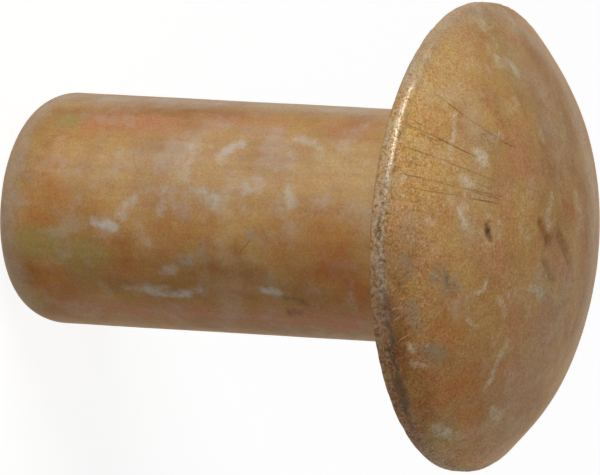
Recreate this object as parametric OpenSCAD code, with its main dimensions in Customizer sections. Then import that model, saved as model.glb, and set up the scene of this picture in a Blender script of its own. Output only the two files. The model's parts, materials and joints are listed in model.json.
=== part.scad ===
// Solid rivet: a plain round shank with a low domed head, upset in one piece from bar.
// It stands on its flat tail end. The origin is the centre of the seat under the head, and +Z points
// along the axis towards the head. All sizes are millimetres.

/* [Shank] */
// Diameter of the shank
shank_d = 6.35; // [4:0.05:9]
// Length of the shank, from the seat under the head to the tail end
shank_len = 13; // [8:0.1:40]
// Corner radius round the tail end
tail_corner_r = 1.15; // [0.2:0.05:1.5]
// Fillet radius where the shank meets the seat
neck_fillet_r = 0.25; // [0.05:0.05:0.5]

/* [Head] */
// Diameter of the head
head_d = 12.75; // [10.5:0.05:18]
// Height of the head, from the seat to the top of the dome
head_h = 3.05; // [2:0.05:5]
// Height of the land round the head's edge, up to where the dome would meet it in a sharp corner
land_h = 0.4; // [0.3:0.05:0.8]
// Corner radius between the land and the dome
rim_corner_r = 0.2; // [0.05:0.05:0.3]
// Corner radius between the land and the seat
seat_corner_r = 0.08; // [0.02:0.01:0.15]

/* [Hidden] */
$fn = 180;
film_gold = [0.69, 0.51, 0.31];

shank_r = shank_d / 2;
head_r = head_d / 2;

// The dome is a ball's cap that would meet the top of the land in a sharp corner.
dome_rise = head_h - land_h;
dome_r = (head_r * head_r + dome_rise * dome_rise) / (2 * dome_rise);
dome_z = head_h - dome_r;

// The rim corner is an arc that runs smoothly into the land and into the dome.
rim_x = head_r - rim_corner_r;
rim_z = dome_z + sqrt(pow(dome_r - rim_corner_r, 2) - rim_x * rim_x);

// A block from the axis out to r, between two heights.
module band(r, z_low, z_high) {
    translate([0, z_low]) square([r, z_high - z_low]);
}

// Rounds the outer lower corner of a block whose wall is at r and whose foot is at z.
module round_foot(r, z, corner_r) {
    difference() {
        children();
        difference() {
            translate([r - corner_r, z]) square(corner_r);
            translate([r - corner_r, z + corner_r]) circle(corner_r);
        }
    }
}

module shank_profile() {
    round_foot(shank_r, -shank_len, tail_corner_r) band(shank_r, -shank_len, 0);
}

module neck_fillet_profile() {
    difference() {
        translate([shank_r, -neck_fillet_r]) square(neck_fillet_r);
        translate([shank_r + neck_fillet_r, -neck_fillet_r]) circle(neck_fillet_r);
    }
}

// The wedge of the head above the land, from the axis out to the line through the rim corner's centre.
module dome_sector() {
    reach = 2;
    polygon([
        [0, rim_z],
        [rim_x, rim_z],
        [rim_x * reach, dome_z + (rim_z - dome_z) * reach],
        [0, dome_z + dome_r * reach],
    ]);
}

module head_profile() {
    round_foot(head_r, 0, seat_corner_r) band(head_r, 0, rim_z);
    translate([rim_x, rim_z]) circle(rim_corner_r);
    intersection() {
        translate([0, dome_z]) circle(dome_r);
        dome_sector();
    }
}

module rivet() {
    color(film_gold) rotate_extrude() {
        shank_profile();
        neck_fillet_profile();
        head_profile();
    }
}

rivet();
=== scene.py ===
import json
import math
import random

import bpy
import numpy as np
from mathutils import Matrix, Vector, noise
from mathutils.bvhtree import BVHTree


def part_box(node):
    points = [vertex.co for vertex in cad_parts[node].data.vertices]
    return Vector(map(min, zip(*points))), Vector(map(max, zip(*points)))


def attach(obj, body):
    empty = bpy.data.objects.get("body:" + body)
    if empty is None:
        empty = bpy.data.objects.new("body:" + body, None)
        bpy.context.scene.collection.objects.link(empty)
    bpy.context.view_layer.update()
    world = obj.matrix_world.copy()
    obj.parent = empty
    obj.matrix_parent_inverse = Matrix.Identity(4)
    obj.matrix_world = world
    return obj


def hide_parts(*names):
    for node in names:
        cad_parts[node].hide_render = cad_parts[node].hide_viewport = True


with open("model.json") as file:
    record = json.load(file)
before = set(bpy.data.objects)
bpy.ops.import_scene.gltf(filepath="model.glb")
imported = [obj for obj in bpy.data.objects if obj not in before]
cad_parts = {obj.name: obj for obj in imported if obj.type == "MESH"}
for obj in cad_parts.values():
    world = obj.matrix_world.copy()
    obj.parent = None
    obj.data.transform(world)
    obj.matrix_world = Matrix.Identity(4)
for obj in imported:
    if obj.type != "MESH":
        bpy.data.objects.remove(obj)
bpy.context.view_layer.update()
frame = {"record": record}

# Lengths below are millimetres unless a name says otherwise; Blender takes metres.
MM = 0.001
TINY = 1e-12
SEED = 11

# The solid's own sizes.
NODE_LOW, NODE_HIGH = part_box("rivet")
HEAD_R = NODE_HIGH.x / MM
HEAD_H = NODE_HIGH.z / MM
SHANK_LEN = -NODE_LOW.z / MM
SHANK_R = next(m["dims"]["r_mm"] for m in frame["record"]["mounts"] if m["name"] == "shank")
TAIL_CORNER_R = 1.15
NECK_FILLET_R = 0.25
LAND_H = 0.4
SEAT_EDGE_R = 0.08
RIM_CORNER_R = 0.2
DOME_RISE = HEAD_H - LAND_H
DOME_R = (HEAD_R**2 + DOME_RISE**2) / (2 * DOME_RISE)
DOME_Z = HEAD_H - DOME_R
RIM_X = HEAD_R - RIM_CORNER_R
RIM_Z = DOME_Z + math.sqrt((DOME_R - RIM_CORNER_R) ** 2 - RIM_X**2)
RIM_TOP_DEG = math.degrees(math.atan2(RIM_Z - DOME_Z, RIM_X))

# The head was struck a little off the shank's axis: how far the shank sits towards -X of it.
SHANK_OFFSET = 0.175

# Steps round the axis, and rings along each stretch of the profile.
STEPS_ROUND = 320
RINGS = {
    "tail": 10,
    "tail_corner": 22,
    "shank": 120,
    "neck": 5,
    "seat": 14,
    "seat_edge": 4,
    "land": 5,
    "rim": 8,
    "dome": 112,
}
SHANK_RUNS = ["tail", "tail_corner", "shank", "neck"]
EDGE_RUNS = ["seat_edge", "land", "rim"]
HEAD_RUNS = EDGE_RUNS + ["dome"]

# The photograph's view: the picture's size, how far the head leans towards the viewer,
# the axis' slope in the picture, the viewer's distance and the place of the seat's centre.
PHOTO_W = 600
PHOTO_H = 475
VIEW_LEAN_DEG = 25.057
VIEW_ROLL_DEG = 3.230
VIEW_DISTANCE = 381.0
PX_PER_MM = 36.927
SEAT_RIGHT_OF_CENTRE = 4.536
SEAT_BELOW_CENTRE = -0.029
SENSOR_MM = 36.0
CLIP_NEAR_M = 0.01
CLIP_FAR_M = 100
FOCAL_PX = PX_PER_MM * VIEW_DISTANCE


def srgb(red, green, blue):
    """A colour given as it looks on screen, 0 to 255, as linear RGBA."""
    def linear(v):
        v /= 255
        return v / 12.92 if v <= 0.04045 else ((v + 0.055) / 1.055) ** 2.4
    return (linear(red), linear(green), linear(blue), 1.0)


# Camera

def view_axes():
    """Right, up and back (towards the viewer) of the picture, in the part's frame."""
    lean, roll = math.radians(VIEW_LEAN_DEG), math.radians(VIEW_ROLL_DEG)
    along = Vector((0, math.sin(lean), math.cos(lean)))
    across = Vector((1, 0, 0))
    right = along * math.cos(roll) - across * math.sin(roll)
    up = -along * math.sin(roll) - across * math.cos(roll)
    back = Vector((0, -math.cos(lean), math.sin(lean)))
    return right, up, back


RIGHT, UP, BACK = view_axes()
EYE = BACK * VIEW_DISTANCE - RIGHT * SEAT_RIGHT_OF_CENTRE + UP * SEAT_BELOW_CENTRE


def add_camera():
    """The camera that sees what the photograph shows."""
    data = bpy.data.cameras.new("camera")
    data.sensor_width = SENSOR_MM
    data.lens = FOCAL_PX / PHOTO_W * SENSOR_MM
    data.clip_start = CLIP_NEAR_M
    data.clip_end = CLIP_FAR_M
    camera = bpy.data.objects.new("camera", data)
    turn = Matrix((RIGHT, UP, BACK)).transposed().to_4x4()
    camera.matrix_world = Matrix.Translation(EYE * MM) @ turn
    bpy.context.scene.collection.objects.link(camera)
    bpy.context.scene.camera = camera


# Form

def arc(centre, radius, start_deg, end_deg, count, side=1):
    """Rings on a circular arc of the profile: radius, height, and the outward normal's two parts."""
    t = np.radians(np.linspace(start_deg, end_deg, count, endpoint=False))
    c, s = np.cos(t), np.sin(t)
    return np.stack([centre[0] + radius * c, centre[1] + radius * s, side * c, side * s], 1)


def straight(start, end, normal, count):
    """Rings on a straight run of the profile."""
    t = np.linspace(0, 1, count, endpoint=False)[:, None]
    at = np.array(start, float) * (1 - t) + np.array(end, float) * t
    return np.concatenate([at, np.repeat([normal], count, 0)], 1)


def profile():
    """The profile from the tail's centre to the top of the dome, and the name of each ring's stretch."""
    tail_flat_r = SHANK_R - TAIL_CORNER_R
    corner_z = TAIL_CORNER_R - SHANK_LEN
    neck_r = SHANK_R + NECK_FILLET_R
    seat_r = HEAD_R - SEAT_EDGE_R
    runs = {
        "tail": straight((0, -SHANK_LEN), (tail_flat_r, -SHANK_LEN), (0, -1), RINGS["tail"]),
        "tail_corner": arc((tail_flat_r, corner_z), TAIL_CORNER_R, -90, 0, RINGS["tail_corner"]),
        "shank": straight((SHANK_R, corner_z), (SHANK_R, -NECK_FILLET_R), (1, 0), RINGS["shank"]),
        "neck": arc((neck_r, -NECK_FILLET_R), NECK_FILLET_R, 180, 90, RINGS["neck"], side=-1),
        "seat": straight((neck_r, 0), (seat_r, 0), (0, -1), RINGS["seat"]),
        "seat_edge": arc((seat_r, SEAT_EDGE_R), SEAT_EDGE_R, -90, 0, RINGS["seat_edge"]),
        "land": straight((HEAD_R, SEAT_EDGE_R), (HEAD_R, RIM_Z), (1, 0), RINGS["land"]),
        "rim": arc((RIM_X, RIM_Z), RIM_CORNER_R, 0, RIM_TOP_DEG, RINGS["rim"]),
        "dome": arc((0, DOME_Z), DOME_R, RIM_TOP_DEG, 90, RINGS["dome"]),
    }
    rows = np.concatenate(list(runs.values()) + [np.array([[0, HEAD_H, 0, 1]], float)])
    names = [name for name, run in runs.items() for _ in range(len(run))] + ["dome"]
    return rows, np.array(names)


def shank_shift(rows, names):
    """Each ring's share of the shank's offset: all of it on the shank, fading out across the seat."""
    share = np.zeros(len(rows))
    share[np.isin(names, SHANK_RUNS)] = 1
    inner, outer = SHANK_R + NECK_FILLET_R, HEAD_R - SEAT_EDGE_R
    on_seat = names == "seat"
    share[on_seat] = (outer - rows[on_seat, 0]) / (outer - inner)
    return -SHANK_OFFSET * share


def revolve(rows, names):
    """Points and normals of the revolved profile, ring by ring, with one point at each end of the axis."""
    turn = np.linspace(0, 2 * math.pi, STEPS_ROUND, endpoint=False)
    shift = shank_shift(rows, names)
    points, normals, ring_of = [], [], []
    for i, (r, z, nr, nz) in enumerate(rows):
        at = turn if r > TINY else turn[:1]
        flat = np.stack([np.cos(at), np.sin(at)], 1)
        points.append(np.column_stack([r * flat + (shift[i], 0), np.full(len(at), z)]))
        normals.append(np.column_stack([nr * flat, np.full(len(at), nz)]))
        ring_of.append(np.full(len(at), i))
    return np.concatenate(points), np.concatenate(normals), np.concatenate(ring_of)


def faces_round(ring_count):
    """Quads between the rings and a fan of triangles at each end."""
    n = STEPS_ROUND
    j = np.arange(n)
    k = (j + 1) % n
    first = 1
    last = 1 + (ring_count - 3) * n
    faces = [(0, first + b, first + a) for a, b in zip(j, k)]
    for start in range(first, last, n):
        ring = np.stack([start + j, start + k, start + n + k, start + n + j], 1)
        faces += [tuple(q) for q in ring.tolist()]
    top = last + n
    faces += [(last + a, last + b, top) for a, b in zip(j, k)]
    return [tuple(int(v) for v in f) for f in faces]


# Marks read off the photograph: the path in photo pixels, the half width in pixels, and the strength.

PALE_ON_SHANK = [
    ([(92, 222), (104, 223), (115, 226)], 11, 1.0),
    ([(122, 214), (126, 206), (132, 200)], 13, 0.85),
    ([(72, 166), (82, 176), (93, 190)], 22, 0.36),
    ([(189, 144), (188, 158), (184, 176)], 15, 0.72),
    ([(219, 157), (230, 150), (242, 141)], 12, 0.8),
    ([(201, 192), (213, 199)], 20, 0.69),
    ([(240, 186), (250, 188), (262, 184)], 20, 0.65),
    ([(289, 190), (291, 206)], 15, 0.73),
    ([(146, 195), (158, 192), (172, 193)], 14, 0.5),
    ([(163, 203), (158, 213)], 13, 0.6),
    ([(182, 135), (198, 135)], 14, 0.52),
    ([(143, 150), (157, 149)], 17, 0.26),
    ([(258, 134), (272, 133)], 20, 0.3),
    ([(298, 138), (312, 141), (322, 148)], 12, 0.72),
    ([(286, 150), (292, 166)], 17, 0.52),
    ([(141, 226), (145, 241)], 14, 0.52),
    ([(182, 264), (200, 254), (222, 243)], 21, 0.34),
    ([(222, 243), (242, 232), (262, 218)], 22, 0.3),
    ([(164, 273), (174, 272)], 15, 0.77),
    ([(128, 288), (150, 291)], 15, 0.73),
    ([(150, 291), (172, 294), (186, 293)], 12, 0.88),
    ([(188, 293), (207, 291)], 14, 0.65),
    ([(262, 291), (274, 290)], 12, 0.95),
    ([(26, 150), (20, 182), (17, 208)], 21, 0.43),
    ([(252, 240), (262, 240)], 17, 0.26),
    ([(353, 284), (349, 298), (352, 312)], 11, 0.52),
    ([(65, 246), (67, 250)], 17, 0.43),
    ([(88, 256), (94, 262)], 17, 0.26),
    ([(240, 208), (250, 208)], 17, 0.34),
    ([(262, 172), (268, 178)], 25, 0.3),
]
PALE_ON_HEAD = [
    ([(481, 18), (482, 25)], 10, 0.6),
    ([(477, 30), (492, 28)], 9, 0.5),
    ([(492, 37), (494, 44)], 9, 0.5),
    ([(496, 57), (502, 66)], 11, 0.6),
    ([(509, 64), (517, 76)], 12, 0.6),
    ([(472, 66), (474, 60)], 8, 0.5),
    ([(513, 100), (514, 108)], 11, 0.5),
    ([(541, 132), (542, 140)], 10, 0.5),
    ([(468, 62), (462, 84), (456, 104)], 9, 0.45),
    ([(458, 96), (459, 104)], 8, 0.6),
    ([(456, 112), (453, 134), (450, 150)], 8, 0.7),
    ([(449, 152), (451, 157)], 9, 0.75),
    ([(477, 155), (484, 160)], 11, 0.9),
    ([(488, 138), (494, 142)], 18, 0.45),
    ([(500, 133), (502, 136)], 8, 0.6),
    ([(463, 180), (471, 182)], 10, 0.75),
    ([(461, 197), (466, 205)], 9, 0.55),
    ([(460, 208), (462, 216), (463, 222)], 12, 0.85),
    ([(438, 206), (442, 210)], 10, 0.4),
    ([(485, 207), (487, 220)], 9, 0.5),
    ([(429, 217), (432, 224)], 9, 0.55),
    ([(425, 236), (426, 246)], 11, 0.35),
    ([(478, 290), (486, 283)], 6, 0.9),
    ([(500, 290), (511, 285)], 7, 0.6),
    ([(501, 304), (504, 312)], 11, 0.6),
    ([(526, 302), (527, 311)], 9, 0.6),
    ([(509, 294), (512, 302)], 9, 0.6),
    ([(530, 287), (541, 298)], 13, 0.6),
    ([(467, 322), (472, 325)], 10, 0.65),
    ([(411, 344), (413, 350)], 10, 0.65),
    ([(415, 363), (420, 367)], 9, 0.6),
    ([(508, 338), (503, 354), (493, 370), (486, 388)], 9, 0.7),
    ([(492, 409), (499, 416)], 14, 0.7),
    ([(437, 428), (446, 437)], 15, 0.65),
    ([(450, 452), (454, 455)], 12, 0.5),
    ([(543, 118), (546, 132)], 14, 0.4),
    ([(563, 118), (566, 132)], 14, 0.35),
    ([(524, 198), (526, 212)], 11, 0.35),
    ([(523, 228), (528, 240)], 12, 0.45),
    ([(498, 220), (500, 232), (498, 241)], 9, 0.5),
    ([(484, 243), (494, 242)], 7, 0.75),
    ([(482, 222), (481, 238)], 8, 0.35),
    ([(553, 194), (550, 212), (549, 232)], 9, 0.6),
    ([(563, 262), (567, 276)], 12, 0.35),
    ([(560, 314), (563, 326)], 12, 0.4),
    ([(553, 219), (552, 232)], 6, 0.5),
    ([(540, 262), (545, 276)], 10, 0.45),
    ([(576, 198), (580, 212), (580, 226)], 18, 0.45),
]
PINK_AREAS = [
    ([(95, 118), (140, 121), (175, 125)], 30, 0.75),
    ([(205, 122), (245, 122), (285, 126)], 26, 0.6),
    ([(335, 124), (362, 127)], 24, 0.5),
    ([(70, 305), (130, 310), (200, 314), (300, 320)], 24, 0.8),
    ([(310, 318), (335, 322), (362, 322)], 30, 1.0),
    ([(516, 148), (530, 165)], 40, 0.5),
    ([(504, 172), (506, 222)], 20, 0.35),
    ([(492, 248), (500, 270)], 34, 0.45),
    ([(512, 312), (522, 335)], 34, 0.6),
    ([(540, 322), (545, 345)], 34, 0.4),
    ([(505, 370), (515, 390)], 40, 0.4),
]
RUST_AREAS = [
    ([(325, 272), (345, 285), (362, 296)], 44, 1.0),
    ([(290, 250), (330, 255)], 40, 0.45),
    ([(120, 262), (130, 268)], 34, 0.8),
    ([(42, 276), (60, 288)], 34, 0.9),
    ([(48, 180), (56, 195)], 30, 0.6),
    ([(32, 219), (40, 221)], 18, 0.6),
    ([(160, 240), (190, 235)], 36, 0.35),
    ([(408, 340), (414, 365), (420, 385)], 40, 0.35),
    ([(430, 398), (450, 390), (468, 382)], 36, 0.9),
    ([(440, 328), (452, 334)], 32, 0.6),
    ([(400, 300), (402, 335)], 26, 0.2),
    ([(464, 413), (475, 420)], 24, 0.6),
    ([(553, 236), (562, 258)], 34, 0.75),
    ([(565, 205), (570, 218)], 24, 0.5),
    ([(586, 240), (588, 262)], 22, 0.4),
    ([(380, 325), (390, 365), (401, 410), (420, 440)], 14, 0.8),
]
OLIVE_AREAS = [
    ([(25, 242), (60, 246), (95, 255)], 30, 1.0),
    ([(76, 268), (90, 275)], 20, 0.6),
    ([(60, 121), (72, 121)], 22, 0.8),
    ([(438, 428), (448, 440)], 26, 0.7),
    ([(505, 62), (515, 80)], 40, 0.5),
    ([(488, 25), (500, 45)], 36, 0.5),
]
GOLD_AREAS = [
    ([(330, 160), (355, 170), (372, 185)], 44, 0.8),
    ([(440, 40), (450, 60), (432, 90)], 60, 0.7),
    ([(405, 140), (430, 170)], 50, 0.4),
    ([(475, 325), (480, 330)], 18, 0.6),
    ([(530, 215), (522, 290), (505, 350)], 60, 0.35),
    ([(560, 198), (557, 214)], 20, 0.7),
    ([(410, 118), (406, 142)], 28, 0.8),
    ([(462, 270), (474, 282)], 24, 0.6),
    ([(474, 112), (486, 126)], 28, 0.7),
    ([(500, 90), (508, 104)], 26, 0.6),
    ([(302, 176), (324, 184)], 30, 0.6),
    ([(480, 160), (482, 232)], 34, 0.5),
    ([(470, 330), (500, 305), (530, 298)], 40, 0.4),
    ([(556, 232), (568, 240)], 12, 0.6),
    ([(553, 284), (556, 294)], 16, 0.7),
]
# Plain scrapes side by side near the top of the head, and the half width and strength of their stain.
SCRAPES = [
    [(541, 224), (549, 246)],
    [(560, 238), (569, 262)],
    [(546, 265), (552, 281)],
]
SCRAPE_STAIN = (13, 0.6)
DARK_AREAS = [
    ([(486, 227), (489, 233), (491, 238)], 6.5, 0.85),
    ([(286, 297), (300, 301)], 18, 0.42),
    ([(290, 312), (304, 315)], 16, 0.42),
    ([(447, 276), (447, 284)], 8, 0.4),
]
# Dark dirt in the crease between the head's land and dome, on its lower part only, where it also stands for
# painted shade.
RIM_GRIME_AND_SHADE = [
    ([(384, 292), (387, 312)], 7, 0.6),
    ([(387, 312), (391, 335)], 8, 1.0),
    ([(391, 335), (395, 360), (397, 378)], 5.5, 0.95),
    ([(398, 380), (402, 398), (406, 412)], 9, 0.9),
    ([(406, 412), (413, 428)], 6, 0.7),
]
RIM_CRUST = [
    ([(383, 205), (379, 232), (379, 262), (383, 298)], 11, 0.8),
    ([(389, 160), (385, 185), (382, 212)], 9, 0.7),
    ([(428, 60), (412, 88)], 9, 0.4),
]
# Bright bare metal along the rim's upper corner, placed where its highlight falls: partly wear, partly a
# painted highlight.
RIM_POLISH_AND_HIGHLIGHT = [
    ([(412, 86), (405, 99)], 4, 0.8),
    ([(405, 99), (398, 120), (393, 142), (389, 164)], 4.5, 1.0),
    ([(389, 164), (386, 182)], 4, 0.6),
    ([(386, 182), (383, 204)], 4, 0.3),
]
SLATE_AREAS = [
    ([(405, 258), (407, 274)], 16, 0.6),
    ([(436, 274), (448, 284)], 20, 0.8),
    ([(412, 306), (418, 322)], 16, 0.75),
    ([(424, 348), (436, 354)], 18, 0.8),
    ([(437, 428), (446, 437)], 18, 0.5),
    ([(484, 138), (494, 144)], 20, 0.6),
    ([(412, 66), (424, 62)], 14, 0.6),
    ([(405, 84), (416, 60), (434, 36), (454, 17)], 12, 0.45),
    ([(252, 238), (264, 236)], 20, 0.5),
    ([(182, 264), (202, 254)], 20, 0.6),
    ([(268, 290), (274, 276)], 14, 0.5),
    ([(534, 292), (546, 302)], 20, 0.4),
    ([(526, 232), (530, 244)], 16, 0.4),
    ([(540, 120), (548, 136)], 22, 0.5),
    ([(562, 120), (570, 140)], 22, 0.4),
    ([(24, 160), (17, 205)], 14, 0.5),
]
# Pale grey veil: a few real patches, and painted sheen on the shank's lit side with painted grazing
# reflection along the outlines of the shank, the tail and the head.
HAZE_AND_SHEEN_AREAS = [
    ([(150, 165), (205, 162), (300, 168), (366, 172)], 70, 0.34),
    ([(80, 166), (150, 165)], 50, 0.22),
    ([(140, 200), (170, 198)], 26, 0.2),
    ([(194, 190), (214, 196)], 26, 0.45),
    ([(246, 132), (272, 132)], 22, 0.4),
    ([(468, 222), (470, 236)], 22, 0.4),
    ([(536, 284), (546, 294)], 22, 0.4),
    ([(408, 220), (408, 236)], 20, 0.4),
    ([(62, 97), (200, 101), (384, 111)], 38, 0.62),
    ([(50, 104), (28, 126), (14, 160), (6, 210), (10, 258), (28, 298)], 26, 0.55),
    ([(560, 268), (548, 320), (530, 370), (508, 410)], 60, 0.24),
    ([(548, 122), (560, 140)], 40, 0.25),
    ([(500, 12), (530, 36), (560, 80), (576, 120), (590, 170)], 36, 0.42),
    ([(592, 190), (594, 240), (588, 300), (574, 350)], 32, 0.26),
    ([(402, 82), (414, 58), (432, 34), (452, 15), (476, 6)], 26, 0.6),
    ([(520, 70), (545, 100)], 50, 0.3),
    ([(470, 140), (480, 190)], 36, 0.22),
]
# Brown tints: stains along the scrapes and on the unseen side, and painted shade on the shank's lower band
# and along its top edge, on the dome's lower-left beside the rim and on its right-hand side.
UMBER_AND_SHADE_AREAS = [
    ([(392, 262), (388, 290), (398, 350), (412, 400), (428, 432)], 44, 0.55),
    ([(390, 305), (397, 345), (404, 378)], 24, 1.0),
    ([(120, 283), (220, 290), (340, 300)], 26, 0.24),
    ([(60, 114), (200, 111), (370, 119)], 18, 0.22),
    ([(400, 232), (404, 250)], 20, 0.25),
    ([(40, 134), (34, 152)], 30, 0.4),
    ([(26, 164), (32, 190)], 24, 0.25),
    ([(18, 255), (26, 272)], 26, 0.35),
    ([(200, 272), (264, 277)], 36, 0.4),
    ([(240, 250), (258, 254)], 26, 0.25),
    ([(282, 286), (296, 290)], 28, 0.35),
    ([(546, 162), (550, 196), (558, 218)], 50, 0.3),
    ([(576, 162), (578, 196)], 40, 0.2),
    ([(428, 356), (438, 364)], 24, 0.3),
    ([(474, 10), (486, 14)], 18, 0.3),
    ([(540, 60), (562, 110), (580, 170), (590, 220), (588, 280), (572, 340)], 56, 0.36),
    ([(100, 258), (200, 262), (340, 270)], 44, 0.2),
] + [(path, *SCRAPE_STAIN) for path in SCRAPES]
PAINTED = {
    "pink": PINK_AREAS,
    "rust": RUST_AREAS,
    "umber_and_shade": UMBER_AND_SHADE_AREAS,
    "olive": OLIVE_AREAS,
    "slate": SLATE_AREAS,
    "haze_and_sheen": HAZE_AND_SHEEN_AREAS,
    "gold": GOLD_AREAS,
    "dark": DARK_AREAS,
    "grime_and_shade": RIM_GRIME_AND_SHADE,
    "crust": RIM_CRUST,
    "polish_and_highlight": RIM_POLISH_AND_HIGHLIGHT,
}
# The pale marks on the shank and on the head are as strong as their lists say times this.
SHANK_SCUFFS = 0.88
HEAD_SCUFFS = 1.25
# Marks on the unseen side: where they may be, how far those places are turned from the viewer, how bent
# the marks are, how many there are, and the least and most of their lengths, half widths and strengths.
HIDDEN_RUNS = ["tail_corner", "shank", "seat", "dome", "rim"]
HIDDEN_FACING = -0.1
HIDDEN_BEND = 0.35
HIDDEN_SCUFFS = (110, (0.05, 1.1), (0.14, 0.42), (0.25, 0.8))
HIDDEN_TINTS = {
    "pink": (14, (0.5, 3.0), (0.5, 1.1), (0.3, 0.8)),
    "rust": (16, (0.5, 2.5), (0.5, 1.1), (0.3, 0.9)),
    "umber_and_shade": (8, (0.5, 2.5), (0.5, 1.2), (0.1, 0.3)),
    "olive": (8, (0.5, 2.5), (0.4, 0.9), (0.4, 0.9)),
    "gold": (8, (0.5, 2.0), (0.8, 1.4), (0.3, 0.8)),
    "slate": (16, (0.1, 0.6), (0.3, 0.6), (0.3, 0.8)),
    "haze_and_sheen": (8, (1.0, 4.0), (0.8, 1.6), (0.2, 0.5)),
    "crust": (10, (0.3, 1.5), (0.15, 0.3), (0.4, 0.8)),
}
# Fine dark scratches, most of them across the head: the two ends in photo pixels and the strength.
SCRATCHES = [
    ((432, 91), (449, 103), 0.4),
    ((446, 102), (464, 115), 0.9),
    ((463, 115), (484, 129), 0.5),
    ((480, 127), (498, 138), 0.65),
    ((498, 140), (517, 148), 0.65),
    ((404, 123), (422, 131), 0.6),
    ((413, 120), (427, 128), 0.5),
    ((418, 129), (454, 145), 0.7),
    ((431, 135), (478, 158), 0.9),
    ((420, 134), (442, 142), 0.5),
    ((399, 145), (441, 159), 0.7),
    ((424, 146), (446, 151), 0.35),
    ((436, 157), (458, 166), 0.5),
    ((448, 163), (483, 175), 0.55),
    ((464, 170), (497, 181), 0.45),
    ((400, 160), (426, 167), 0.4),
    ((398, 173), (427, 179), 0.9),
    ((423, 178), (457, 187), 0.55),
    ((454, 186), (503, 197), 0.6),
    ((470, 191), (503, 200), 0.7),
    ((470, 180), (493, 190), 0.45),
    ((408, 187), (433, 192), 0.7),
    ((429, 191), (461, 196), 0.6),
    ((467, 198), (502, 204), 0.85),
    ((394, 199), (419, 203), 0.45),
    ((402, 208), (428, 213), 0.4),
    ((253, 237), (237, 256), 0.6),
]
# Fine bright scratches near the head's worn edge, given in the same way.
BRIGHT_SCRATCHES = [
    ((398, 299), (406, 298), 0.5),
    ((392, 310), (396, 308), 0.7),
    ((396, 309), (403, 307), 0.6),
    ((394, 321), (400, 316), 0.6),
    ((398, 341), (410, 334), 0.6),
    ((420, 304), (428, 303), 0.45),
    ((435, 318), (441, 310), 0.5),
    ((390, 292), (398, 287), 0.5),
    ((402, 287), (409, 285), 0.45),
    ((413, 222), (421, 219), 0.4),
    ((425, 330), (430, 326), 0.4),
]
# A scratch's half width, the share of it at the tips, and how far it reaches along the view
# before it begins to fade and until it ends.
SCRATCH_HALF = 0.032
SCRATCH_TIP = 0.4
SCRATCH_REACH = 0.3
SCRATCH_REACH_END = 0.45
# Shares of a scratch's length, from its middle: where it begins to taper and to fade, and its tip.
TAPER_FROM = 0.1
FADE_FROM = 0.4
AT_TIP = 0.5

# The head's fuller shoulder, on its -X side and on its +X side.
SHOULDER_R = (4.4, 5.2)
SHOULDER_HALF = (1.7, 1.1)
SHOULDER_SWELL = (0.05, 0.08)
# The tail's corner: how much fuller it is, at which turn from +X, and how far round, in degrees.
TAIL_SWELL = 0.10
TAIL_SWELL_TURN = -48
TAIL_SWELL_HALF = 60

# How far up the dome the worn edge and the coarse band reach, and the least coarseness on the head.
EDGE_REACH = 0.22
COARSE_REACH = 1.4
COARSE_LEAST = 0.45
# The head's -X side is smoother: by how much, and how far the change reaches in.
CALM_SHARE = 0.6
CALM_REACH = 5.0
# How far the outlines of painted marks wander, coarsely and finely, and the size of the wander.
NUDGES = (0.16, 0.08)
NUDGE_SCALES = (0.5, 0.18)
NUDGE_SEED = 5
# Marks whose outlines don't wander.
RIM_MARKS = {"crust", "polish_and_highlight"}

# Soft unevenness: the depth, the size of its bumps and the noise's seed, everywhere and on the head's edge.
WAVES = ((0.010, 2.2, 1), (0.006, 0.6, 2))
EDGE_WAVES = (0.020, 0.22, 3)
# How far each step of the seed moves the noise.
NOISE_SHIFT = (17.3, -9.1, 4.7)
# Nicks round the head's edge: how many, and the least and most of their heights, radii and depths.
NICK_COUNT = 90
NICK_HEIGHTS = (0.05, LAND_H + 0.1)
NICK_RADII = (0.10, 0.26)
NICK_DEPTHS = (0.008, 0.026)
# A pit and a struck hollow: the place in photo pixels, the radius and the depth.
PIT = ((489, 234), 0.16, 0.09)
STRUCK_SPOT = ((557, 247), 0.95, 0.05)
# The scrapes' half width and depth.
SCRAPE_HALF = 0.22
SCRAPE_DEPTH = 0.05


def photo_ray(x, y):
    """Direction of the view through a photo pixel."""
    right = (x - PHOTO_W / 2) / FOCAL_PX
    up = (PHOTO_H / 2 - y) / FOCAL_PX
    return (RIGHT * right + UP * up - BACK).normalized()


class Surface:
    """The part's plain surface, for finding the place that a photo pixel shows."""

    def __init__(self, points, faces):
        self.tree = BVHTree.FromPolygons([tuple(p) for p in points.tolist()], faces)

    def at(self, pixel):
        """The place on the part that a photo pixel shows."""
        hit = self.tree.ray_cast(EYE, photo_ray(*pixel))[0]
        if hit is None:
            raise ValueError("no part of the surface is at pixel %s" % (pixel,))
        return np.array(hit)


def smooth_fall(ratio):
    """1 at the middle of a mark, 0 from its edge outwards."""
    k = np.clip(1 - ratio, 0, 1)
    return k * k * (3 - 2 * k)


def path_distance(points, path):
    """How far each point is from a path of straight steps."""
    best = np.full(len(points), np.inf)
    steps = list(zip(path[:-1], path[1:])) or [(path[0], path[0])]
    for a, b in steps:
        d = b - a
        t = np.clip((points - a) @ d / max(d @ d, TINY), 0, 1)
        best = np.minimum(best, np.linalg.norm(points - a - t[:, None] * d, axis=1))
    return best


def painted(points, surface, marks):
    """How strongly the marks cover each point, 0 to 1."""
    cover = np.zeros(len(points))
    for path, half_px, strength in marks:
        on_part = [surface.at(p) for p in path]
        ratio = path_distance(points, on_part) / (half_px / PX_PER_MM)
        cover = np.maximum(cover, strength * smooth_fall(ratio))
    return cover


def uneven(points, scale, seed):
    """Soft noise over the surface, about -1 to 1; scale is the size of its bumps."""
    shift = Vector([seed * step for step in NOISE_SHIFT])
    return np.array([noise.noise(Vector(p) / scale + shift) for p in points.tolist()])


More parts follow.
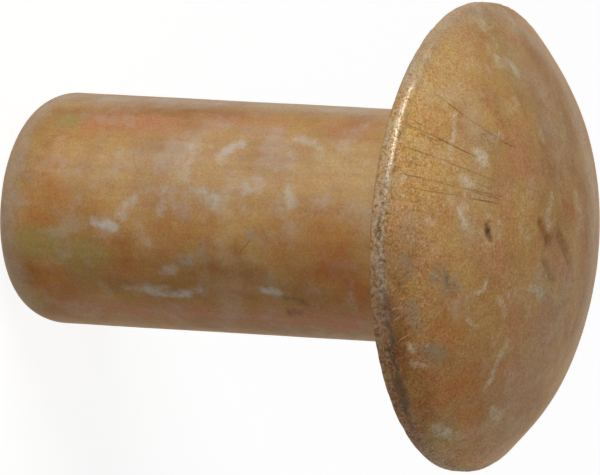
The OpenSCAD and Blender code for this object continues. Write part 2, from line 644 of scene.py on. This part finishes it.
def nudged(points):
    """The points pushed about a little, so that what is painted by them has an uneven outline."""
    moved = points.copy()
    for reach, scale in zip(NUDGES, NUDGE_SCALES):
        for axis in range(3):
            moved[:, axis] += reach * uneven(points, scale, NUDGE_SEED + axis)
    return moved


def hidden_marks(points, normals, names, rng, count, lengths, halves, strengths):
    """Marks strewn over the side that the photograph doesn't show, like those that it does."""
    cover = np.zeros(len(points))
    turned = normals @ np.array(BACK) < HIDDEN_FACING
    away = np.where(turned & np.isin(names, HIDDEN_RUNS))[0]
    for _ in range(count):
        start = away[rng.randrange(len(away))]
        middle = points[start]
        lead = np.cross(normals[start], np.array([rng.uniform(-1, 1) for _ in range(3)]))
        lead /= np.linalg.norm(lead)
        bend = np.cross(normals[start], lead) * rng.uniform(-HIDDEN_BEND, HIDDEN_BEND)
        length = rng.uniform(*lengths)
        path = [middle - lead * length / 2, middle + bend * length / 2, middle + lead * length / 2]
        ratio = path_distance(points, path) / rng.uniform(*halves)
        cover = np.maximum(cover, rng.uniform(*strengths) * smooth_fall(ratio))
    return cover


def hollow(points, centre, radius, depth):
    """The depth of a round soft dent at each point."""
    return depth * smooth_fall(np.linalg.norm(points - centre, axis=1) / radius)


def rim_nicks(points, rng):
    """Small dents round the head's edge."""
    depth = np.zeros(len(points))
    for _ in range(NICK_COUNT):
        turn = rng.uniform(0, 2 * math.pi)
        z = rng.uniform(*NICK_HEIGHTS)
        centre = np.array([HEAD_R * math.cos(turn), HEAD_R * math.sin(turn), z])
        nick = hollow(points, centre, rng.uniform(*NICK_RADII), rng.uniform(*NICK_DEPTHS))
        depth = np.maximum(depth, nick)
    return depth


def swell(points, names):
    """How much fuller the real part is than the plain one, on the head's shoulders and the tail's corner."""
    radius = np.linalg.norm(points[:, :2], axis=1)
    side = (1 + points[:, 0] / np.maximum(radius, TINY)) / 2
    (swell_a, swell_b), (middle_a, middle_b), (half_a, half_b) = SHOULDER_SWELL, SHOULDER_R, SHOULDER_HALF
    away = abs(radius - middle_a - (middle_b - middle_a) * side) / (half_a + (half_b - half_a) * side)
    full = np.where(names == "dome", (swell_a + (swell_b - swell_a) * side) * smooth_fall(away), 0)
    turn = np.degrees(np.arctan2(points[:, 1], points[:, 0]))
    share = np.clip((points[:, 2] + SHANK_LEN) / TAIL_CORNER_R, 0, 1)
    at_corner = np.where(names == "tail_corner", np.sin(math.pi * share), 0)
    return full + TAIL_SWELL * at_corner * smooth_fall(abs(turn - TAIL_SWELL_TURN) / TAIL_SWELL_HALF)


def depths(points, names, surface, rng):
    """How far each point lies under the plain surface."""
    depth = -swell(points, names)
    for most, size, seed in WAVES:
        depth += most * (uneven(points, size, seed) + 1) / 2
    most, size, seed = EDGE_WAVES
    depth += np.where(np.isin(names, EDGE_RUNS), most * np.clip(uneven(points, size, seed), 0, 1), 0)
    depth += rim_nicks(points, rng)
    for pixel, radius, deep in (PIT, STRUCK_SPOT):
        depth += hollow(points, surface.at(pixel), radius, deep)
    for path in SCRAPES:
        on_part = [surface.at(p) for p in path]
        depth += SCRAPE_DEPTH * smooth_fall(path_distance(points, on_part) / SCRAPE_HALF)
    return depth


def near_rim(points, names, reach):
    """1 on the head's outer band, fading out up the dome over the given height."""
    return np.where(np.isin(names, HEAD_RUNS), smooth_fall((points[:, 2] - LAND_H) / reach), 0)


def set_attribute(mesh, name, values):
    """Puts a number on each point of the mesh, under a name that the material reads."""
    mesh.attributes.new(name, "FLOAT", "POINT").data.foreach_set("value", values.astype(np.float32))


def set_marks(mesh, points, normals, names, surface, rng):
    """Puts the painted marks on the mesh, each kind as an attribute that the material reads."""
    loose = nudged(points)
    on_shank = SHANK_SCUFFS * painted(loose, surface, PALE_ON_SHANK)
    pale = np.maximum(on_shank, HEAD_SCUFFS * painted(loose, surface, PALE_ON_HEAD))
    hidden = hidden_marks(loose, normals, names, rng, *HIDDEN_SCUFFS)
    set_attribute(mesh, "scuff", np.maximum(pale, hidden))
    for name, areas in PAINTED.items():
        cover = painted(points if name in RIM_MARKS else loose, surface, areas)
        if name in HIDDEN_TINTS:
            cover = np.maximum(cover, hidden_marks(loose, normals, names, rng, *HIDDEN_TINTS[name]))
        set_attribute(mesh, name, cover)


def set_wear(mesh, points, names):
    """Puts the worn edge and the coarseness of the head on the mesh."""
    calm = 1 - CALM_SHARE * smooth_fall((points[:, 0] + HEAD_R) / CALM_REACH)
    set_attribute(mesh, "edge", near_rim(points, names, EDGE_REACH) * calm)
    coarse = COARSE_LEAST + (1 - COARSE_LEAST) * near_rim(points, names, COARSE_REACH)
    set_attribute(mesh, "coarse", np.where(np.isin(names, HEAD_RUNS), coarse * calm, 0))


def build_rivet():
    """The dressed rivet, and the plain surface that its marks were placed on."""
    rng = random.Random(SEED)
    rows, row_names = profile()
    points, normals, ring_of = revolve(rows, row_names)
    names = row_names[ring_of]
    faces = faces_round(len(rows))
    surface = Surface(points, faces)
    shaped = points - normals * depths(points, names, surface, rng)[:, None]

    mesh = bpy.data.meshes.new("rivet_body")
    mesh.from_pydata((shaped * MM).tolist(), [], faces)
    mesh.polygons.foreach_set("use_smooth", [True] * len(mesh.polygons))
    set_marks(mesh, points, normals, names, surface, rng)
    set_wear(mesh, points, names)
    mesh.update()
    piece = bpy.data.objects.new("rivet_body", mesh)
    bpy.context.scene.collection.objects.link(piece)
    return piece, surface


# Material

class Nodes:
    """Short calls for making and joining the nodes of one tree."""

    def __init__(self, tree):
        self.tree = tree
        self.tree.nodes.clear()

    def add(self, kind, inputs=None, **settings):
        """A new node with its settings, its inputs set or joined."""
        node = self.tree.nodes.new(kind)
        for name, value in settings.items():
            setattr(node, name, value)
        for key, value in (inputs or {}).items():
            self.feed(node.inputs[key], value)
        return node

    def feed(self, socket, value):
        if isinstance(value, bpy.types.NodeSocket):
            self.tree.links.new(value, socket)
        else:
            socket.default_value = value

    def noise(self, at, size_mm, detail, roughness):
        inputs = {"Vector": at, "Scale": 1 / (size_mm * MM), "Detail": detail, "Roughness": roughness}
        return self.add("ShaderNodeTexNoise", inputs).outputs["Fac"]

    def attribute(self, name):
        return self.add("ShaderNodeAttribute", attribute_name=name).outputs["Fac"]

    def step(self, value, low, high, out_low=0.0, out_high=1.0):
        """A soft step from one number to another while the value goes from low to high."""
        inputs = {"Value": value, "From Min": low, "From Max": high, "To Min": out_low, "To Max": out_high}
        return self.add("ShaderNodeMapRange", inputs, interpolation_type="SMOOTHSTEP").outputs["Result"]

    def math(self, operation, a, b):
        return self.add("ShaderNodeMath", {0: a, 1: b}, operation=operation).outputs[0]

    def vector(self, operation, a, b):
        return self.add("ShaderNodeVectorMath", {0: a, 1: b}, operation=operation)

    def mix(self, share, a, b):
        """A colour between two colours."""
        return self.add("ShaderNodeMix", {0: share, 6: a, 7: b}, data_type="RGBA").outputs[2]

    def shade(self, share, a, b):
        """A number between two numbers."""
        return self.add("ShaderNodeMix", {0: share, 2: a, 3: b}, data_type="FLOAT").outputs[0]


def scratch_group():
    """How far a place is inside one tapering scratch: 1 on its line, 0 from its edge outwards."""
    group = bpy.data.node_groups.new("scratch", "ShaderNodeTree")
    for name in ("Place", "Start", "Run", "Side", "Up"):
        group.interface.new_socket(name, in_out="INPUT", socket_type="NodeSocketVector")
    group.interface.new_socket("Cover", in_out="OUTPUT", socket_type="NodeSocketFloat")
    n = Nodes(group)
    given = n.add("NodeGroupInput").outputs
    lead = n.vector("SUBTRACT", given["Place"], given["Start"]).outputs["Vector"]

    def part(direction):
        return n.math("ABSOLUTE", n.vector("DOT_PRODUCT", lead, given[direction]).outputs["Value"], 0.0)

    along = n.vector("DOT_PRODUCT", lead, given["Run"]).outputs["Value"]
    whole = n.vector("DOT_PRODUCT", given["Run"], given["Run"]).outputs["Value"]
    share = n.add("ShaderNodeMath", {0: along, 1: whole}, operation="DIVIDE", use_clamp=True).outputs[0]
    from_middle = n.math("ABSOLUTE", n.math("SUBTRACT", share, AT_TIP), 0.0)
    half = n.step(from_middle, AT_TIP, TAPER_FROM, SCRATCH_TIP * SCRATCH_HALF * MM, SCRATCH_HALF * MM)
    cover = n.step(part("Side"), 0.0, half, 1.0, 0.0)
    cover = n.math("MULTIPLY", cover, n.step(from_middle, AT_TIP, FADE_FROM))
    cover = n.math("MULTIPLY", cover, n.step(part("Up"), SCRATCH_REACH_END * MM, SCRATCH_REACH * MM))
    n.add("NodeGroupOutput", {"Cover": cover})
    return group


def scratch_cover(nodes, group, place, surface, scratches):
    """A list of fine scratches together, each one straight in the photograph's view."""
    cover = None
    for start_px, end_px, strength in scratches:
        start, end = Vector(surface.at(start_px)), Vector(surface.at(end_px))
        run = end - start
        side = run.cross(EYE - (start + end) / 2).normalized()
        node = nodes.add("ShaderNodeGroup", node_tree=group)
        nodes.feed(node.inputs["Place"], place)
        node.inputs["Start"].default_value = start * MM
        node.inputs["Run"].default_value = run * MM
        node.inputs["Side"].default_value = side
        node.inputs["Up"].default_value = side.cross(run).normalized()
        out = nodes.math("MULTIPLY", node.outputs["Cover"], strength)
        cover = out if cover is None else nodes.math("MAXIMUM", cover, out)
    return cover


# Colours of the film and its tints, of rubbed and bare places, and of what sits on them.
FILM_GOLD = srgb(188, 146, 91)
FILM_BROWN = srgb(170, 124, 75)
FILM_ORANGE = srgb(178, 125, 68)
TINTS = {
    "gold": srgb(194, 154, 88),
    "pink": srgb(193, 134, 97),
    "rust": srgb(176, 112, 58),
    # The brown tint is both a stain and painted shade.
    "umber_and_shade": srgb(112, 70, 34),
    "olive": srgb(162, 138, 80),
    # The pale grey veil is partly painted sheen and painted reflection.
    "haze_and_sheen": srgb(184, 168, 146),
}
SLATE = srgb(142, 136, 117)
PALE_GREY = srgb(200, 196, 187)
PALE_BEIGE = srgb(224, 211, 186)
CRUST_DARK = srgb(132, 116, 98)
CRUST_PALE = srgb(184, 172, 154)
# Bare metal, painted pale where the rim's highlight falls.
BARE_METAL_HIGHLIGHT = srgb(214, 196, 168)
# Dark dirt that is also painted shade in the crease beside the rim.
GRIME_AND_SHADE = srgb(84, 76, 62)
DIRT = srgb(90, 54, 28)
SCRATCH_BROWN = srgb(104, 66, 34)
SCRATCH_BRIGHT = srgb(214, 182, 132)

# Noises over the surface: the size of their bumps, their detail and their roughness.
NOISES = {
    "broad": (2.4, 4, 0.55),
    "veil": (1.1, 5, 0.6),
    "cloud": (0.7, 5, 0.6),
    "hue": (0.4, 4, 0.6),
    "mottle": (0.30, 6, 0.7),
    "streak": (0.22, 3, 0.6),
    "fleck": (0.10, 4, 0.7),
    "grain": (0.058, 3, 0.7),
}
# The middle of a noise's values, and of the hue's.
MIDDLE = 0.5
# Painted marks with torn edges: how far the mottling eats into them, the strength from which they show,
# how much each kind covers, and the strength at which a pale mark covers most.
RAGGED = 1.5
MARK_START = 0.12
MARK_MOST = {"scuff": 0.9, "slate": 0.85, "crust": 0.95, "grime_and_shade": 0.95, "dark": 0.85}
SCUFF_FULL = 1.25
# The share of a pale mark that is left in the gaps of its speckle.
SOLID_ON_SHANK = 0.9
SOLID_ON_HEAD = 0.55
# How much of the marks' raggedness the thin pale veil has.
VEIL_RAGGED = 0.4
# Where the brown stain and painted shade lie the film was not rubbed pale, and where there is rust, by this
# share.
RUST_KEEPS = 0.5
# How much dirt sits on the worn edge and on slate patches, beside that on the crust.
EDGE_DIRT = 0.5
SLATE_DIRT = 0.4
# Share of light and dark in the grain on the smooth shank and on the roughest part of the head.
GRAIN_LEAST = 0.9
GRAIN_MOST = 2.6
# The film on the head is this much lighter than on the shank.
HEAD_LIGHTER = 1.16
# The worn outer band of the head is this much darker than its dome.
EDGE_DARKER = 0.2
# The drawing streaks along the shank: how much the pattern is stretched, and their share of light and dark.
STREAK_SQUASH = 0.06
STREAK_LIGHT = 0.26
# How far the hue wanders to either side.
HUE_WANDER = 0.008

# Soft steps: where each begins and ends on its noise or attribute, and what it gives at either end.
GOLD_TO_BROWN = (0.35, 0.68, 0.0, 1.0)
ORANGE_CLOUDS = (0.46, 0.64, 0.0, 0.55)
TINT_PATCHES = (0.3, 0.7, 0.55, 1.1)
HUE_STEP = (0.3, 0.7, MIDDLE - HUE_WANDER, MIDDLE + HUE_WANDER)
GRAIN_DEPTH = (0.0, 1.0, GRAIN_LEAST, GRAIN_MOST)
HEAD_LIGHT = (0.0, COARSE_LEAST, 1.0, HEAD_LIGHTER)
HEAD_SHARE = (0.0, 0.4, 0.0, 1.0)
SHANK_SHARE = (0.0, 0.4, 1.0, 0.0)
SOLID_SHARE = (0.0, 0.4, SOLID_ON_SHANK, SOLID_ON_HEAD)
VEIL_COVER = (0.46, 0.72, 0.0, 0.24)
FLECK_COVER = (0.52, 0.70, 0.0, 0.75)
FLECK_CLOUDS = (0.42, 0.58, 0.0, 1.0)
KEPT_FILM = (0.0, 0.4, 1.0, 0.3)
BROKEN_UP = (0.38, 0.58, 0.2, 1.0)
EDGE_CRUST = (0.40, 0.60, 0.05, 0.4)
CRUST_TONES = (0.42, 0.60, 0.0, 1.0)
CRUST_GRAIN = (0.36, 0.60, 0.5, 1.0)
DIRT_SPECKS = (0.48, 0.32, 0.0, 0.75)
POLISH_HIGHLIGHT_GRAIN = (0.40, 0.58, 0.1, 1.0)
FINE_PITS = (0.44, 0.30, 0.0, 0.4)
SCRATCH_BREAKS = (0.35, 0.6, 0.35, 0.9)
SPECK_RELIEF = (0.0, 1.0, 0.3, 3.0)
# The speckle in the pale marks: where its grain and its flecks begin and end.
PALE_GRAIN = (0.34, 0.62)
PALE_FLECKS = (0.36, 0.56)

# The surface: metallic from film to bare metal, how bare a pale mark is, roughness from film to pale marks,
# that of polished metal, and the gloss.
METALLIC = (0.0, 1.0, 0.26, 0.7)
PALE_IS_BARE = 0.3
ROUGHNESS = (0.0, 1.0, 0.50, 0.60)
POLISHED_ROUGHNESS = 0.30
SPECULAR_LEVEL = 0.03
COAT_WEIGHT = 0.05
COAT_ROUGHNESS = 0.3
COAT_IOR = 1.45
BUMP_STRENGTH = 0.6
BUMP_DEPTH = 0.012


class Film:
    """The layers of the golden film, all made from the same few noises and the painted marks."""

    def __init__(self, nodes, place):
        self.n = nodes
        self.place = place
        self.cloud = self.noise("cloud")
        self.fleck = self.noise("fleck")
        self.grain = self.noise("grain")
        self.mottle = self.swing(self.noise("mottle"))
        self.ragged = nodes.math("MULTIPLY", self.mottle, RAGGED)
        self.coarse = nodes.attribute("coarse")
        self.edge = nodes.attribute("edge")
        self.grain_depth = nodes.step(self.coarse, *GRAIN_DEPTH)
        self.broken = nodes.step(self.fleck, *BROKEN_UP)
        self.dirt = self.dirt_places()

    def noise(self, name):
        return self.n.noise(self.place, *NOISES[name])

    def swing(self, value):
        """A noise as lights and darks round zero."""
        return self.n.math("SUBTRACT", value, MIDDLE)

    def torn(self, name, full=1.0):
        """A painted mark with ragged edges; it covers most where it is as strong as the given value."""
        strength = self.n.math("ADD", self.n.attribute(name), self.ragged)
        return self.n.step(strength, MARK_START, full, 0.0, MARK_MOST[name])

    def dirt_places(self):
        """Where dark specks gather: on the crust, the worn edge and the slate patches."""
        n = self.n
        dirt = n.math("MAXIMUM", n.math("MULTIPLY", self.edge, EDGE_DIRT), n.attribute("crust"))
        return n.math("MAXIMUM", dirt, n.math("MULTIPLY", n.attribute("slate"), SLATE_DIRT))

    def tinted(self):
        """The film's colour: gold to brown, orange in clouds, and the painted tints, which hold painted shade
        and painted sheen too.
        """
        n = self.n
        colour = n.mix(n.step(self.noise("broad"), *GOLD_TO_BROWN), FILM_GOLD, FILM_BROWN)
        colour = n.mix(n.step(self.cloud, *ORANGE_CLOUDS), colour, FILM_ORANGE)
        patchy = n.step(self.cloud, *TINT_PATCHES)
        for name, tint in TINTS.items():
            colour = n.mix(n.math("MULTIPLY", n.attribute(name), patchy), colour, tint)
        return colour

    def streaks(self):
        """Lights and darks drawn out along the shank, and none on the head."""
        n = self.n
        stretch = {"Vector": self.place, "Scale": (1, 1, STREAK_SQUASH)}
        drawn = n.add("ShaderNodeMapping", stretch).outputs["Vector"]
        streak = n.math("MULTIPLY", self.swing(n.noise(drawn, *NOISES["streak"])), STREAK_LIGHT)
        return n.math("MULTIPLY", streak, n.step(self.coarse, *SHANK_SHARE))

    def grained(self, colour):
        """The colour with its grain, mottling and streaks, and a hue that wanders a little."""
        n = self.n
        light = n.math("MULTIPLY", self.swing(self.grain), self.grain_depth)
        light = n.math("ADD", light, n.step(self.coarse, *HEAD_LIGHT))
        light = n.math("ADD", light, n.math("MULTIPLY", self.mottle, self.coarse))
        light = n.math("SUBTRACT", light, n.math("MULTIPLY", self.edge, EDGE_DARKER))
        light = n.math("ADD", light, self.streaks())
        inputs = {"Hue": n.step(self.noise("hue"), *HUE_STEP), "Value": light, "Color": colour}
        return n.add("ShaderNodeHueSaturation", inputs).outputs["Color"]

    def veiled(self):
        """How far the film is rubbed thin and pale: a veil all over, and flecks on the head."""
        n = self.n
        veil = n.math("ADD", self.noise("veil"), n.math("MULTIPLY", self.ragged, VEIL_RAGGED))
        flecked = n.math("MULTIPLY", n.step(self.fleck, *FLECK_COVER), n.step(self.cloud, *FLECK_CLOUDS))
        cover = n.math("MAXIMUM", n.step(veil, *VEIL_COVER), n.math("MULTIPLY", flecked, self.coarse))
        kept = n.math("MAXIMUM", n.attribute("umber_and_shade"), n.math("MULTIPLY", n.attribute("rust"), RUST_KEEPS))
        return n.math("MULTIPLY", cover, n.step(kept, *KEPT_FILM))

    def rubbed(self):
        """How far the film is rubbed pale in all: the veil and the painted pale marks."""
        n = self.n
        solid = n.step(self.coarse, *SOLID_SHARE)
        speckle = n.step(self.grain, *PALE_GRAIN, solid, 1.0)
        marks = n.math("MULTIPLY", self.torn("scuff", SCUFF_FULL), speckle)
        marks = n.math("MULTIPLY", marks, n.step(self.fleck, *PALE_FLECKS, solid, 1.0))
        return n.math("MAXIMUM", self.veiled(), marks)

    def paled(self, colour, pale):
        """The colour with its slate patches and its pale marks."""
        n = self.n
        colour = n.mix(n.math("MULTIPLY", self.torn("slate"), self.broken), colour, SLATE)
        pale_colour = n.mix(n.step(self.coarse, *HEAD_SHARE), PALE_GREY, PALE_BEIGE)
        return n.mix(pale, colour, pale_colour)

    def crusted(self, colour):
        """The colour with the grainy crust on the head's edge and the dirt in it."""
        n = self.n
        worn = n.math("MULTIPLY", self.edge, n.step(self.fleck, *EDGE_CRUST))
        crust = n.math("MULTIPLY", self.torn("crust"), n.step(self.grain, *CRUST_GRAIN))
        tones = n.mix(n.step(self.fleck, *CRUST_TONES), CRUST_DARK, CRUST_PALE)
        colour = n.mix(n.math("MAXIMUM", worn, crust), colour, tones)
        return n.mix(n.math("MULTIPLY", self.dirt, n.step(self.fleck, *DIRT_SPECKS)), colour, DIRT)

    def polish_highlight(self):
        """How far the rim is rubbed to bright bare metal, placed where its highlight falls: partly wear,
        partly a painted highlight.
        """
        return self.n.math("MULTIPLY", self.n.attribute("polish_and_highlight"), self.n.step(self.grain, *POLISH_HIGHLIGHT_GRAIN))

    def grimed_and_shaded(self, colour):
        """The colour with dark dirt and painted shade in the crease beside the rim's lower part, dark spots
        and fine pits.
        """
        n = self.n
        colour = n.mix(n.math("MULTIPLY", self.torn("grime_and_shade"), self.broken), colour, GRIME_AND_SHADE)
        pitted = n.math("MULTIPLY", n.step(self.fleck, *FINE_PITS), self.coarse)
        return n.mix(n.math("MAXIMUM", self.torn("dark"), pitted), colour, DIRT)

    def scratches(self, surface):
        """How far each place lies in a dark scratch, and in a bright one."""
        n = self.n
        group = scratch_group()
        dark = scratch_cover(n, group, self.place, surface, SCRATCHES)
        dark = n.math("MULTIPLY", dark, n.step(self.fleck, *SCRATCH_BREAKS))
        return dark, scratch_cover(n, group, self.place, surface, BRIGHT_SCRATCHES)

    def relief(self, scratched):
        """The fine height of grain, specks and dark scratches."""
        n = self.n
        specks = n.math("MULTIPLY", self.fleck, n.step(self.dirt, *SPECK_RELIEF))
        height = n.math("ADD", n.math("MULTIPLY", self.grain, self.grain_depth), specks)
        return n.math("SUBTRACT", height, scratched)


def film_layers(n, place, surface):
    """The film's colour, the shares of it that are rubbed pale and rubbed to bright bare metal under the
    painted rim highlight, and its relief.
    """
    film = Film(n, place)
    pale = film.rubbed()
    polish_highlight = film.polish_highlight()
    dark, bright = film.scratches(surface)
    colour = film.grained(film.tinted())
    colour = film.crusted(film.paled(colour, pale))
    colour = film.grimed_and_shaded(n.mix(polish_highlight, colour, BARE_METAL_HIGHLIGHT))
    colour = n.mix(dark, colour, SCRATCH_BROWN)
    colour = n.mix(bright, colour, SCRATCH_BRIGHT)
    return colour, pale, polish_highlight, film.relief(dark)


def film_material(surface):
    """Golden film on aluminium: mottled, rubbed pale in patches, worn and grainy round the head's edge, with
    painted shade, painted sheen and a painted highlight on the rim.
    """
    material = bpy.data.materials.new("golden_film")
    material.use_nodes = True
    n = Nodes(material.node_tree)
    place = n.add("ShaderNodeTexCoord").outputs["Object"]
    colour, pale, polish_highlight, relief = film_layers(n, place, surface)
    bare = n.math("MAXIMUM", polish_highlight, n.math("MULTIPLY", pale, PALE_IS_BARE))
    bump = n.add("ShaderNodeBump", {"Height": relief, "Strength": BUMP_STRENGTH, "Distance": BUMP_DEPTH * MM})
    shader = n.add("ShaderNodeBsdfPrincipled", {
        "Base Color": colour,
        "Metallic": n.step(bare, *METALLIC),
        "Roughness": n.shade(polish_highlight, n.step(pale, *ROUGHNESS), POLISHED_ROUGHNESS),
        "Specular IOR Level": SPECULAR_LEVEL,
        "Coat Weight": COAT_WEIGHT,
        "Coat Roughness": COAT_ROUGHNESS,
        "Coat IOR": COAT_IOR,
        "Normal": bump.outputs["Normal"],
    })
    n.add("ShaderNodeOutputMaterial", {"Surface": shader.outputs["BSDF"]})
    return material


# Studio

WHITE = (1, 1, 1, 1)
FLOOR_RADIUS_M = 3.0
FLOOR_SIDES = 96
FLOOR_GLOW = 0.88
FLOOR_COLOUR = (0.35, 0.35, 0.35, 1.0)
SKY_FILL = 0.03
LAMP_DISTANCE_M = 0.5
# Each softbox: turn from +X and height above the floor in degrees, width in metres, and watts.
SOFTBOXES = {
    "key": (216, 14, 0.36, 1.95),
    "front": (268, 8, 0.36, 0.52),
    "back": (26, 20, 0.36, 0.24),
    "rear": (88, 4, 0.30, 1.1),
}
# Fill lights that light the part but leave no glint on it.
NO_GLINT = {"rear"}


def seen_directly(nodes):
    """1 for what is seen, straight, mirrored or through glass; 0 for the light that the surface gives."""
    path = nodes.add("ShaderNodeLightPath").outputs
    seen = nodes.math("MAXIMUM", path["Is Camera Ray"], path["Is Glossy Ray"])
    return nodes.math("MAXIMUM", seen, path["Is Transmission Ray"])


def floor_material():
    """White to the eye, with the part's shadow left on it."""
    material = bpy.data.materials.new("floor_white")
    material.use_nodes = True
    n = Nodes(material.node_tree)
    matt = n.add("ShaderNodeBsdfDiffuse", {"Color": FLOOR_COLOUR})
    glow = n.add("ShaderNodeEmission", {"Strength": n.math("MULTIPLY", seen_directly(n), FLOOR_GLOW)})
    both = n.add("ShaderNodeAddShader", {0: matt.outputs[0], 1: glow.outputs[0]})
    n.add("ShaderNodeOutputMaterial", {"Surface": both.outputs[0]})
    return material


def add_floor():
    """A wide round floor under the tail."""
    turn = [2 * math.pi * k / FLOOR_SIDES for k in range(FLOOR_SIDES)]
    z = NODE_LOW.z
    points = [(FLOOR_RADIUS_M * math.cos(t), FLOOR_RADIUS_M * math.sin(t), z) for t in turn]
    mesh = bpy.data.meshes.new("floor")
    mesh.from_pydata(points, [], [tuple(range(FLOOR_SIDES))])
    mesh.materials.append(floor_material())
    floor = bpy.data.objects.new("floor", mesh)
    bpy.context.scene.collection.objects.link(floor)


def add_sky():
    """White to the eye, with little light of its own."""
    world = bpy.data.worlds.new("sky")
    bpy.context.scene.world = world
    world.use_nodes = True
    n = Nodes(world.node_tree)
    strength = n.shade(seen_directly(n), SKY_FILL, 1.0)
    sky = n.add("ShaderNodeBackground", {"Color": WHITE, "Strength": strength})
    n.add("ShaderNodeOutputWorld", {"Surface": sky.outputs[0]})


def add_softbox(name, turn_deg, height_deg, size_m, watts):
    """A round soft lamp that faces the part."""
    data = bpy.data.lights.new(name, "AREA")
    data.shape = "DISK"
    data.size = size_m
    data.energy = watts
    lamp = bpy.data.objects.new(name, data)
    turn, height = math.radians(turn_deg), math.radians(height_deg)
    flat = math.cos(height)
    towards = Vector((flat * math.cos(turn), flat * math.sin(turn), math.sin(height)))
    lamp.location = (NODE_LOW + NODE_HIGH) / 2 + towards * LAMP_DISTANCE_M
    lamp.rotation_euler = towards.to_track_quat("Z", "Y").to_euler()
    lamp.visible_camera = False
    lamp.visible_glossy = name not in NO_GLINT
    bpy.context.scene.collection.objects.link(lamp)


def main():
    """Camera, the dressed rivet in place of its node, floor, sky and lamps."""
    add_camera()
    rivet, surface = build_rivet()
    rivet.data.materials.append(film_material(surface))
    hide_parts("rivet")
    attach(rivet, "root")
    add_floor()
    add_sky()
    for name, (turn, height, size, watts) in SOFTBOXES.items():
        add_softbox(name, turn, height, size, watts)
    bpy.context.scene.view_settings.view_transform = "Standard"


main()
